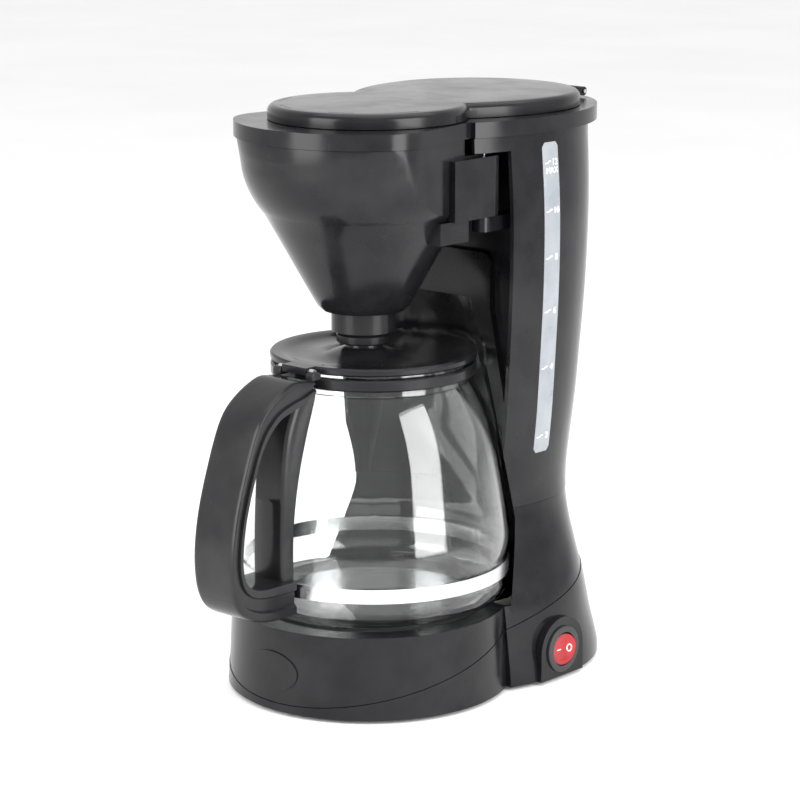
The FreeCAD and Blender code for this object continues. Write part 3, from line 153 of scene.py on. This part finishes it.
def satin_plastic(name, dark, light, rough=(0.38, 0.55), grain=2600.0, depth=0.00006, alpha=None):
    """Fine spark-eroded texture of unpolished moulded plastic or rubber."""
    m = Nodes(name)
    m.set(IOR=1.49)
    cloud = m.noise(60.0, 4.0)
    m.tint(cloud, "Fac", dark, light)
    rough_map = m.spread(cloud, "Fac", 0.3, 0.7, *rough)
    m.tree.links.new(rough_map.outputs[0], m.shader.inputs["Roughness"])
    fine = m.noise(grain, 2.0)
    m.bump(fine, "Fac", 0.35, depth)
    if alpha is not None:
        m.set(Transmission_Weight=alpha)
    return m.material


def bright_steel(name, stretch, base=(0.66, 0.66, 0.67), rough=(0.14, 0.3)):
    """Rolled stainless steel with long polishing lines and a few darker stains."""
    m = Nodes(name)
    m.set(Metallic=1.0, IOR=2.5)
    stain = m.noise(30.0, 4.0)
    m.tint(stain, "Fac", tuple(c * 0.86 for c in base), base)
    lines = m.noise(700.0, 3.0, stretch)
    rough_map = m.spread(lines, "Fac", 0.3, 0.7, *rough)
    m.tree.links.new(rough_map.outputs[0], m.shader.inputs["Roughness"])
    m.bump(lines, "Fac", 0.12, 0.00004)
    return m.material


def clear_glass(name):
    """Blown glass: a little uneven, with faint dried water spots."""
    m = Nodes(name)
    m.set(Transmission_Weight=1.0, IOR=1.47, Base_Color=(0.985, 0.995, 0.99, 1))
    spots = m.noise(160.0, 3.0)
    rough_map = m.spread(spots, "Fac", 0.6, 0.8, 0.0, 0.05)
    m.tree.links.new(rough_map.outputs[0], m.shader.inputs["Roughness"])
    wave = m.noise(14.0, 1.0, (1.0, 1.0, 0.4))
    m.bump(wave, "Fac", 0.06, 0.002)
    return m.material


def dark_coating(name):
    """Non-stick coating of the warming plate: fine speckle, its roughness varying in cloudy patches of
    wear.
    """
    m = Nodes(name)
    speck = m.noise(1500.0, 2.0)
    m.tint(speck, "Fac", (0.018, 0.018, 0.019), (0.05, 0.05, 0.052), 0.45, 0.75)
    wear = m.noise(45.0, 4.0)
    rough_map = m.spread(wear, "Fac", 0.3, 0.7, 0.25, 0.45)
    m.tree.links.new(rough_map.outputs[0], m.shader.inputs["Roughness"])
    m.bump(speck, "Fac", 0.25, 0.00005)
    return m.material


def cast_metal(name):
    m = Nodes(name)
    m.set(Metallic=1.0)
    cloud = m.noise(120.0, 5.0)
    m.tint(cloud, "Fac", (0.42, 0.42, 0.42), (0.6, 0.6, 0.6))
    rough_map = m.spread(cloud, "Fac", 0.3, 0.7, 0.4, 0.65)
    m.tree.links.new(rough_map.outputs[0], m.shader.inputs["Roughness"])
    m.bump(m.noise(1100.0, 4.0), "Fac", 0.4, 0.0001)
    return m.material


BLACK = gloss_black("black_gloss")
SOFT_BLACK = gloss_black("black_handle", (0.013, 0.013, 0.014), (0.02, 0.02, 0.021), (0.16, 0.26))
MATT_BLACK = satin_plastic("black_satin", (0.012, 0.012, 0.013), (0.022, 0.022, 0.023))
RUBBER = satin_plastic("rubber", (0.012, 0.012, 0.012), (0.02, 0.02, 0.02), (0.6, 0.8), 1800.0, 0.0001)
WINDOW = satin_plastic("window", (0.20, 0.215, 0.235), (0.25, 0.265, 0.285), (0.25, 0.36), 900.0, 0.00003)
HOSE = satin_plastic("hose", (0.62, 0.62, 0.58), (0.74, 0.74, 0.7), (0.3, 0.45), 700.0, 0.00006, 0.3)
RED = satin_plastic("rocker_red", (0.30, 0.006, 0.010), (0.45, 0.012, 0.018), (0.12, 0.22), 900.0,
                    0.00003, 0.25)
STEEL = bright_steel("steel", (1.0, 1.0, 14.0))
GLASS = clear_glass("glass")
PLATE = dark_coating("hot_plate")
CAST = cast_metal("casting")
MARK = satin_plastic("level_marks", (0.80, 0.80, 0.80), (0.9, 0.9, 0.9), (0.4, 0.5), 1200.0, 0.00002)

BY_SLOT = {"housing": BLACK, "inner_plastic": MATT_BLACK, "pot_glass": GLASS, "steel": STEEL,
           "hot_plate": PLATE, "casting": CAST, "rubber": RUBBER, "hose": HOSE, "window": WINDOW,
           "rocker_red": RED}
SLOT_OF = {row["node"]: row["material_slot"] for row in frame["record"]["subparts"]}
BODY_OF = {node: body for body, nodes in frame["record"]["behaviour"]["bodies"].items()
           for node in nodes}


# ---------------------------------------------------------------- mesh helpers
def finish_mesh(name, mesh, body, material, nodes=(), sharp=32.0):
    """Smooths a mesh between its sharp edges, gives it its material, parents it to its body and hides the
    CAD nodes it stands in for.
    """
    work = bmesh.new()
    work.from_mesh(mesh)
    bmesh.ops.remove_doubles(work, verts=work.verts, dist=2e-6)
    bmesh.ops.recalc_face_normals(work, faces=work.faces)
    limit = math.radians(sharp)
    for face in work.faces:
        face.smooth = True
    for edge in work.edges:
        if len(edge.link_faces) == 2:
            edge.smooth = edge.calc_face_angle(0.0) < limit
    work.to_mesh(mesh)
    work.free()
    piece = bpy.data.objects.new(name, mesh)
    scene.collection.objects.link(piece)
    mesh.materials.clear()
    mesh.materials.append(material)
    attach(piece, body)
    if nodes:
        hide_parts(*nodes)
    return piece


def welded(node):
    """The CAD node's own shape with smooth shading between its true edges."""
    mesh = frame["nodes"][node].data.copy()
    if mesh.has_custom_normals:
        work = bmesh.new()
        work.from_mesh(mesh)
        clean = bpy.data.meshes.new(node)
        work.to_mesh(clean)
        work.free()
        for layer in [a for a in clean.attributes if a.name == "custom_normal"]:
            clean.attributes.remove(layer)
        mesh = clean
    slot = SLOT_OF[node]
    return finish_mesh(node + "_skin", mesh, BODY_OF[node], BY_SLOT[slot], (node,))


# ---------------------------------------------------------------- shape helpers, in millimetres
def rounded(points, steps=6):
    """A closed outline whose corners, given as (a, b, radius), are rounded."""
    out = []
    count = len(points)
    for i, (a, b, radius) in enumerate(points):
        here = Vector((a, b))
        before = Vector(points[i - 1][:2]) - here
        after = Vector(points[(i + 1) % count][:2]) - here
        if radius <= 0 or before.length < 1e-6 or after.length < 1e-6:
            out.append((a, b))
            continue
        angle = before.angle(after)
        back = min(radius / math.tan(angle / 2), before.length * 0.49, after.length * 0.49)
        true_radius = back * math.tan(angle / 2)
        start, end = here + before.normalized() * back, here + after.normalized() * back
        centre = here + (before.normalized() + after.normalized()).normalized() * (
            true_radius / math.sin(angle / 2))
        from_c, to_c = start - centre, end - centre
        sweep = from_c.angle_signed(to_c)
        for k in range(steps + 1):
            t = -sweep * k / steps
            out.append((centre.x + from_c.x * math.cos(t) - from_c.y * math.sin(t),
                        centre.y + from_c.x * math.sin(t) + from_c.y * math.cos(t)))
    return out


def smooth_line(points, per=8):
    """A Catmull-Rom curve through (a, b) points."""
    out = []
    ext = [points[0]] + list(points) + [points[-1]]
    for p0, p1, p2, p3 in zip(ext, ext[1:], ext[2:], ext[3:]):
        for k in range(per):
            t = k / per
            out.append(tuple(0.5 * (2 * b + (c - a) * t + (2 * a - 5 * b + 4 * c - d) * t * t
                                    + (3 * b - a - 3 * c + d) * t ** 3)
                             for a, b, c, d in zip(p0, p1, p2, p3)))
    return out + [tuple(points[-1])]


def offset(loop, distance):
    """The loop, counter-clockwise, moved inwards by a distance."""
    out = []
    count = len(loop)
    for i in range(count):
        a, b, c = (Vector(loop[i - 1]), Vector(loop[i]), Vector(loop[(i + 1) % count]))
        first, second = (b - a).normalized(), (c - b).normalized()
        normal = Vector((-first.y - second.y, first.x + second.x))
        if normal.length < 1e-6:
            normal = Vector((-first.y, first.x))
        normal.normalize()
        lean = max(0.5, normal.dot(Vector((-first.y, first.x))))
        out.append(tuple(b + normal * (distance / lean)))
    return out


class Solid:
    """Gathers closed meshes in millimetres, y counted from the front axis."""

    def __init__(self):
        self.verts = []
        self.faces = []

    def add(self, verts, faces):
        base = len(self.verts)
        self.verts += verts
        self.faces += [tuple(base + i for i in face) for face in faces]

    def stack(self, loops, cap=True):
        """Consecutive closed loops of 3-D points joined by quads, the ends capped."""
        count = len(loops[0])
        verts = [point for loop in loops for point in loop]
        faces = []
        for level in range(len(loops) - 1):
            for k in range(count):
                a, b = level * count + k, level * count + (k + 1) % count
                faces.append((a, b, b + count, a + count))
        if cap:
            faces.append(tuple(reversed(range(count))))
            faces.append(tuple(range((len(loops) - 1) * count, len(loops) * count)))
        self.add(verts, faces)

    def prism(self, loop, low, high, edge=0.6, axis="Z", edge_low=None):
        """A counter-clockwise plan between two levels, with rounded edges."""
        edge_low = edge if edge_low is None else edge_low
        levels = []
        for k in range(5):
            t = math.radians(22.5 * k)
            levels.append((edge_low * (1 - math.sin(t)), low + edge_low * (1 - math.cos(t))))
        for k in range(5):
            t = math.radians(22.5 * k)
            levels.append((edge * (1 - math.cos(t)), high - edge * (1 - math.sin(t))))
        loops = []
        for inset, level in levels:
            flat = offset(loop, inset)
            loops.append([(a, b, level) if axis == "Z" else (level, a, b) for a, b in flat])
        self.stack(loops)

    def shell(self, outer, inner):
        """Two matching grids of points joined into one closed wall."""
        rows, cols = len(outer), len(outer[0])
        verts = [point for row in outer for point in row] + [point for row in inner for point in row]
        shift = rows * cols
        faces = []
        for r in range(rows - 1):
            for c in range(cols - 1):
                a = r * cols + c
                faces.append((a, a + 1, a + cols + 1, a + cols))
                faces.append((shift + a, shift + a + cols, shift + a + cols + 1, shift + a + 1))
        edge = [r * cols for r in range(rows)]
        edge2 = [r * cols + cols - 1 for r in range(rows)]
        low, high = list(range(cols)), [(rows - 1) * cols + c for c in range(cols)]
        for line, flip in ((edge, 0), (edge2, 1), (low, 1), (high, 0)):
            for a, b in zip(line, line[1:]):
                quad = (a, b, b + shift, a + shift)
                faces.append(quad if flip else tuple(reversed(quad)))
        self.add(verts, faces)

    def mesh(self, name):
        mesh = bpy.data.meshes.new(name)
        mesh.from_pydata([(x * MM, (y + FRONT) * MM, z * MM) for x, y, z in self.verts], [], self.faces)
        return mesh

    def piece(self, name, body, slot, material, nodes=(), sharp=32.0):
        return finish_mesh(name, self.mesh(name), body, material, nodes, sharp)


# ---------------------------------------------------------------- carving and lettering
def carved(mesh, cutter):
    """The mesh with a closed cutter taken out of it."""
    target = bpy.data.objects.new("target", mesh)
    tool = bpy.data.objects.new("tool", cutter)
    for item in (target, tool):
        scene.collection.objects.link(item)
    cut = target.modifiers.new("cut", "BOOLEAN")
    cut.operation = "DIFFERENCE"
    cut.solver = "EXACT"
    cut.object = tool
    graph = bpy.context.evaluated_depsgraph_get()
    result = bpy.data.meshes.new_from_object(target.evaluated_get(graph))
    for item in (target, tool):
        bpy.data.objects.remove(item)
    return result


def lettering(text, high, depth):
    """Closed letters in their own plane: (right, up, out) points and faces, centred."""
    curve = bpy.data.curves.new("letters", "FONT")
    curve.body = text
    curve.size = high / 0.7
    curve.extrude = depth / 2
    curve.resolution_u = 4
    curve.align_x = "CENTER"
    item = bpy.data.objects.new("letters", curve)
    scene.collection.objects.link(item)
    graph = bpy.context.evaluated_depsgraph_get()
    mesh = bpy.data.meshes.new_from_object(item.evaluated_get(graph))
    verts = [(v.co.x, v.co.y - high / 2, v.co.z) for v in mesh.vertices]
    faces = [tuple(face.vertices) for face in mesh.polygons]
    bpy.data.objects.remove(item)
    bpy.data.curves.remove(curve)
    bpy.data.meshes.remove(mesh)
    return verts, faces


def stroke(points, wide, depth):
    """A closed flat line of even width through (right, up) points."""
    left, right = [], []
    for i, point in enumerate(points):
        a, b = Vector(points[max(0, i - 1)]), Vector(points[min(len(points) - 1, i + 1)])
        side = Vector((a.y - b.y, b.x - a.x)).normalized() * (wide / 2)
        left.append((point[0] + side.x, point[1] + side.y))
        right.append((point[0] - side.x, point[1] - side.y))
    loop = left + right[::-1]
    count = len(loop)
    verts = [(a, b, out) for out in (-depth / 2, depth / 2) for a, b in loop]
    faces = [(i, (i + 1) % count, count + (i + 1) % count, count + i) for i in range(count)]
    half = len(points)
    for base in (0, count):
        faces += [(base + i, base + i + 1, base + count - 2 - i, base + count - 1 - i)
                  for i in range(half - 1)]
    return verts, faces


class Surface:
    """Heights of chosen CAD pieces seen along +X, in millimetres."""

    def __init__(self, *nodes):
        verts, faces = [], []
        for node in nodes:
            item = frame["nodes"][node]
            base = len(verts)
            verts += [item.matrix_world @ v.co for v in item.data.vertices]
            faces += [tuple(base + i for i in face.vertices) for face in item.data.polygons]
        self.tree = BVHTree.FromPolygons(verts, faces)

    def out(self, y, z):
        hit = self.tree.ray_cast(Vector((0.3, (y + FRONT) * MM, z * MM)), Vector((-1, 0, 0)))
        return hit[0].x / MM

    def lay(self, marks, verts, faces, y, z, proud):
        """Adds a flat mark, given as (right, up, out) points, lying on the surface round (y, z)."""
        marks.add([(self.out(y + a, z + b) + proud + out, y + a, z + b) for a, b, out in verts], faces)


# ---------------------------------------------------------------- smooth pot handle
def pot_handle():
    """Grip, strap and ears; the grip's sides are recessed between a rail at each edge."""
    pairs = [
        ((-58.8, 184.6), (-57.6, 178.6)), ((-66.0, 185.8), (-66.0, 174.0)),
        ((-74.0, 186.0), (-76.0, 170.8)), ((-86.0, 181.0), (-84.5, 168.0)),
        ((-96.0, 174.0), (-91.0, 163.0)), ((-102.2, 166.0), (-95.4, 158.0)),
        ((-107.6, 154.0), (-100.2, 150.0)), ((-112.2, 141.5), (-104.4, 139.2)),
        ((-116.2, 129.5), (-108.4, 127.8)), ((-119.6, 116.5), (-111.8, 115.4)),
        ((-121.8, 103.0), (-113.8, 102.6)), ((-122.3, 90.0), (-114.0, 91.6)),
        ((-120.6, 76.5), (-111.4, 83.4)), ((-115.6, 66.6), (-105.4, 78.8)),
        ((-106.0, 60.6), (-97.4, 77.2)), ((-95.0, 57.8), (-89.0, 77.0)),
        ((-84.0, 57.0), (-81.0, 77.0)), ((-74.4, 57.0), (-74.2, 77.0))]
    outer = smooth_line([pair[0] for pair in pairs], 5)
    inner = smooth_line([pair[1] for pair in pairs], 5)
    across = [(15.0, 0.02), (15.0, 0.26), (13.2, 0.32), (13.2, 0.66), (15.0, 0.72), (15.0, 0.90)]
    profile = [(13.2, 0.0)] + across
    for k in range(5):
        turn = math.radians(18 + 18 * k)
        profile.append((15.0 - 3.4 * (1 - math.cos(turn)), 0.90 + 0.10 * math.sin(turn)))
    side = profile + [(7.0, 1.0)]
    ring = side + [(-x, t) for x, t in reversed(side)]
    loops = []
    for a, b in zip(outer, inner):
        loops.append([(x, b[0] + (a[0] - b[0]) * t, b[1] + (a[1] - b[1]) * t) for x, t in ring])
    grip = Solid()
    grip.stack(loops)
    front = smooth_line([(-81.6, 74.0), (-81.6, 94.0), (-80.9, 115.0), (-79.6, 136.0), (-76.6, 156.0),
                         (-71.0, 170.0), (-67.0, 178.0), (-66.0, 183.5)], 5)
    back = smooth_line([(-73.0, 74.0), (-73.1, 94.0), (-71.4, 115.0), (-67.4, 136.0), (-61.6, 156.0),
                        (-57.4, 168.0), (-54.9, 177.0), (-57.9, 183.5)], 5)
    side = [(11.5, 0.0), (11.5, 0.55), (11.2, 0.75), (10.4, 0.92), (9.2, 1.0)]
    ring = side + [(-x, t) for x, t in reversed(side)]
    grip.stack([[(x, b[0] + (a[0] - b[0]) * t, b[1] + (a[1] - b[1]) * t) for x, t in ring]
                for a, b in zip(front, back)])
    for low, high in ((9.6, 15.0), (-15.0, -9.6)):
        ear = rounded([(-60.6, 185.0, 0), (-54.0, 185.0, 0), (-54.0, 189.6, 2.4), (-60.6, 189.6, 2.4)])
        grip.prism(ear, low, high, 0.5, "X")
    return grip.piece("pot_handle_smooth", "pot", "housing", SOFT_BLACK, ("pot_handle",), 34.0)


# ---------------------------------------------------------------- rounded lid with its vents
def lid_outline(count=360):
    """The lid's plan: a round front lobe joined to a wider oval behind it."""
    middle_y = 40.0
    front_radius, oval_half, oval_y, oval_start = 55.0, 60.0, 88.0, 20.0
    loop = []
    for i in range(count):
        turn = 2 * math.pi * i / count
        dx, dy = math.cos(turn), math.sin(turn)
        reach = [0.0]
        drop = -middle_y * dy
        inside = drop * drop - (middle_y ** 2 - front_radius ** 2)
        if inside > 0:
            reach.append(drop + math.sqrt(inside))
        for span, sign in ((80.0, -1), (61.5, 1)):
            a = (dx / oval_half) ** 2 + (dy / span) ** 2
            b = 2 * (middle_y - oval_y) * dy / span ** 2
            c = ((middle_y - oval_y) / span) ** 2 - 1
            inside = b * b - 4 * a * c
            if inside > 0:
                far = (-b + math.sqrt(inside)) / (2 * a)
                y = middle_y + far * dy
                if (y - oval_y) * sign >= 0 and y >= oval_start:
                    reach.append(far)
        loop.append((max(reach) * dx, middle_y + max(reach) * dy))
    return loop


def top_lid():
    """A rounded cap over the lid's bevelled top, with four thin vents in its front lobe."""
    low, high = 324.2, 328.25
    loop = lid_outline()
    levels = [(5.5, 327.1), (1.6, 324.5), (0.0, low)]
    for k in range(1, 7):
        turn = math.radians(15 * k)
        levels.append((4.0 * (1 - math.cos(turn)), low + (high - low) * math.sin(turn)))
    levels += [(9.0, high + 0.06), (18.0, high + 0.14)]
    cap = Solid()
    cap.stack([[(x, y, z) for x, y in offset(loop, inset)] for inset, z in levels])
    mesh = cap.mesh("cap")
    for low_turn, high_turn in ((-73, -56), (-37, -14), (-124, -107), (-166, -143)):
        slot = Solid()
        arc = [math.radians(low_turn + (high_turn - low_turn) * k / 10) for k in range(11)]
        ring = [(49.0 * math.cos(t), 49.0 * math.sin(t)) for t in arc]
        ring += [(47.7 * math.cos(t), 47.7 * math.sin(t)) for t in reversed(arc)]
        slot.stack([[(x, y, z) for x, y in ring] for z in (327.35, 329.5)])
        mesh = carved(mesh, slot.mesh("slot"))
    return finish_mesh("top_lid_cap", mesh, "lid", BLACK, (), 30.0)


# ---------------------------------------------------------------- water window and its marks
def window_strip(surface):
    """The grey strip, following the tank's side, with small round corners."""
    wide_low, wide_high, low, high = 67.4, 80.6, 129.6, 305.4
    rows = [low + (high - low) * k / 72 for k in range(73)]
    columns = [wide_low + (wide_high - wide_low) * k / 8 for k in range(9)]
    outer, inner = [], []
    for z in rows:
        near = min(z - low, high - z)
        pull = 2.0 * (1 - math.sqrt(max(0.0, 1 - (1 - min(1.0, near / 2.0)) ** 2)))
        line, back = [], []
        for y in columns:
            y = 74.0 + (y - 74.0) * (1 - pull / 6.6)
            x = surface.out(y, z)
            line.append((x + 0.12, y, z))
            back.append((x - 2.2, y, z))
        outer.append(line)
        inner.append(back)
    strip = Solid()
    strip.shell(outer, inner)
    return strip.piece("window_strip", "root", "window", WINDOW, ("water_window",), 40.0)


def level_marks(surface):
    """The cup numbers printed on the water window, each with a bent tick at its left."""
    marks = Solid()
    depth, proud = 0.12, 0.14
    tick = [(-2.8, -0.5), (-0.4, -0.5), (0.3, 0.4), (2.0, 0.4)]
    for text, z in (("12", 294.5), ("10", 267.9), ("8", 241.8), ("6", 211.4), ("4", 179.1),
                    ("2", 139.2)):
        surface.lay(marks, *lettering(text, 3.5, depth), 77.0, z, proud)
        surface.lay(marks, *stroke(tick, 0.55, depth), 71.6, z, proud)
    surface.lay(marks, *lettering("MAX", 3.3, depth), 74.4, 290.0, proud)
    return marks.piece("level_marks", "root", "window", MARK, (), 30.0)


def rocker_marks(surface):
    """The line and the ring printed on the power switch."""
    marks = Solid()
    line = [(-1.6, 0.0), (1.6, 0.0)]
    ring = [(1.5 * math.cos(t), 2.0 * math.sin(t)) for t in (math.radians(15 * k) for k in range(25))]
    for points, y in ((line, 68.4), (ring, 76.0)):
        surface.lay(marks, *stroke(points, 0.5, 0.14), y, 18.0, 0.05)
    return marks.piece("rocker_marks", "rocker", "window", MARK, (), 30.0)


# ---------------------------------------------------------------- the shown pieces
REPLACED = ("pot_handle", "water_window")
for node in frame["nodes"]:
    if node not in REPLACED:
        welded(node)
pot_handle()
top_lid()
flank = Surface("tank_shell", "water_window")
window_strip(flank)
level_marks(flank)
rocker_marks(Surface("rocker"))

# ---------------------------------------------------------------- camera, floor and light
AIM = Vector((12.89, -9.40, 162.3)) * MM
BACK = Vector((0.6522, -0.7243, 0.2238)).normalized()
camera_data = bpy.data.cameras.new("camera")
camera_data.lens = 125.7
camera_data.sensor_width = 36.0
camera_data.clip_start = 0.05
camera_data.clip_end = 60.0
camera = bpy.data.objects.new("camera", camera_data)
scene.collection.objects.link(camera)
camera.location = AIM + BACK * 1.5555
camera.rotation_euler = BACK.to_track_quat("Z", "Y").to_euler()
scene.camera = camera


def floor():
    m = Nodes("floor")
    m.set(IOR=1.3)
    cloud = m.noise(3.0, 3.0)
    m.tint(cloud, "Fac", (0.90, 0.90, 0.90), (0.93, 0.93, 0.93))
    m.set(Roughness=0.85)
    mesh = bpy.data.meshes.new("floor")
    reach = 12.0
    mesh.from_pydata([(-reach, -reach, 0), (reach, -reach, 0), (reach, reach, 0), (-reach, reach, 0)],
                     [], [(0, 1, 2, 3)])
    ground = bpy.data.objects.new("floor", mesh)
    scene.collection.objects.link(ground)
    ground.location.z = -0.0002
    mesh.materials.append(m.material)


def area(name, place, size_x, size_y, power):
    aim = Vector((0, 0, 0.16))
    data = bpy.data.lights.new(name, "AREA")
    data.shape = "RECTANGLE"
    data.size = size_x
    data.size_y = size_y
    data.energy = power
    lamp = bpy.data.objects.new(name, data)
    scene.collection.objects.link(lamp)
    lamp.location = place
    lamp.rotation_euler = (Vector(place) - aim).to_track_quat("Z", "Y").to_euler()


floor()
area("left_box", (-0.18, -1.05, 0.46), 0.55, 0.9, 11)
area("right_box", (1.02, -0.02, 0.46), 0.55, 0.9, 14)
area("top_box", (0.0, 0.15, 1.5), 1.5, 1.5, 12)
world = bpy.data.worlds.new("studio")
scene.world = world
world.use_nodes = True
sky = world.node_tree.nodes["Background"]
sky.inputs["Color"].default_value = (1, 1, 1, 1)
sky.inputs["Strength"].default_value = 1.0
scene.view_settings.view_transform = "Standard"
